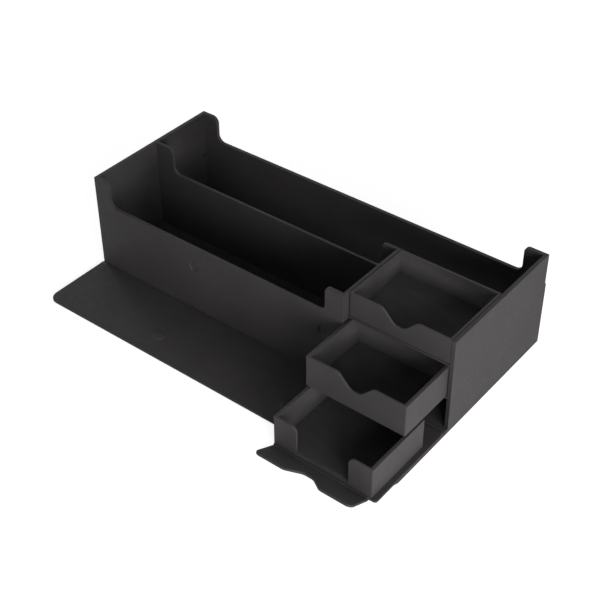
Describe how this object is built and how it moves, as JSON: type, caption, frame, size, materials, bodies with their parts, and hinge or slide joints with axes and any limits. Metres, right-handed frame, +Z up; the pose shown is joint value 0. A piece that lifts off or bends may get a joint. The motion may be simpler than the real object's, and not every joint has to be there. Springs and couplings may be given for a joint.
{
  "type": "card storage box",
  "caption": "Open card storage box with a divided card row, card drawers under a lift-out dice tray, and a front flap and drawer cover folded down.",
  "frame": {"origin": "middle of the underside of the box, on the surface it stands on", "axes": "+X to the right along the box's length as seen from the front, +Y to the back, +Z up"},
  "size_m": [0.416, 0.2926, 0.1044],
  "materials": {
    "outer_skin": "matte fine-grained leatherette over board, charcoal",
    "tray_skin": "matte fine-grained leatherette over board, charcoal",
    "fold_skin": "matte leatherette, unbacked at the fold",
    "lining": "short-napped microfibre lining, charcoal",
    "magnet_disc": "disc magnet covered by the charcoal skin"
  },
  "bodies": {
    "box": {"bottom_cover": "outer_skin", "back_cover": "outer_skin", "base_board": "outer_skin", "front_wall": "outer_skin", "back_wall": "outer_skin", "left_end_wall": "outer_skin", "right_end_wall": "outer_skin", "divider_wall": "outer_skin", "module_partition": "outer_skin", "module_back": "outer_skin", "drawer_shelf": "outer_skin", "tray_shelf": "outer_skin", "row_floor_lining": "lining", "rear_floor_lining": "lining", "wall_magnet_left": "magnet_disc", "wall_magnet_right": "magnet_disc"},
    "front_flap": {"front_flap": "outer_skin", "flap_fold_strip": "fold_skin", "flap_magnet_left": "magnet_disc", "flap_magnet_right": "magnet_disc"},
    "drawer_cover": {"drawer_cover": "outer_skin", "cover_fold_strip": "fold_skin"},
    "tuck_tab": {"tuck_tab": "outer_skin", "tab_fold_strip": "fold_skin"},
    "upper_drawer": {"upper_drawer": "tray_skin", "upper_drawer_lining": "lining"},
    "lower_drawer": {"lower_drawer": "tray_skin", "lower_drawer_lining": "lining"},
    "dice_tray": {"dice_tray": "tray_skin", "dice_tray_lining": "lining"}
  },
  "joints": [
    {"name": "front_flap_hinge", "type": "hinge", "parent": "box", "child": "front_flap", "pos_m": [0, -0.0828, 0.0012], "axis": [-1, 0, 0], "range_deg": [-90, 0]},
    {"name": "drawer_cover_hinge", "type": "hinge", "parent": "box", "child": "drawer_cover", "pos_m": [0.153, -0.0828, 0.0012], "axis": [-1, 0, 0], "range_deg": [-90, 0]},
    {"name": "tuck_tab_hinge", "type": "hinge", "parent": "drawer_cover", "child": "tuck_tab", "pos_m": [0.15, -0.1838, 0.0039], "axis": [-1, 0, 0], "range_deg": [-27, 63]},
    {"name": "upper_drawer_slide", "type": "slide", "parent": "box", "child": "upper_drawer", "axis": [0, 1, 0], "range_m": [-0.0155, 0.0635]},
    {"name": "lower_drawer_slide", "type": "slide", "parent": "box", "child": "lower_drawer", "axis": [0, 1, 0], "range_m": [0, 0.1084]},
    {"name": "dice_tray_lift", "type": "slide", "parent": "box", "child": "dice_tray", "axis": [0, 0, 1], "range_m": [0, 0.03]}
  ],
  "couplings": [
    {"joint": "drawer_cover_hinge", "follows": "front_flap_hinge", "ratio": 1}
  ]
}
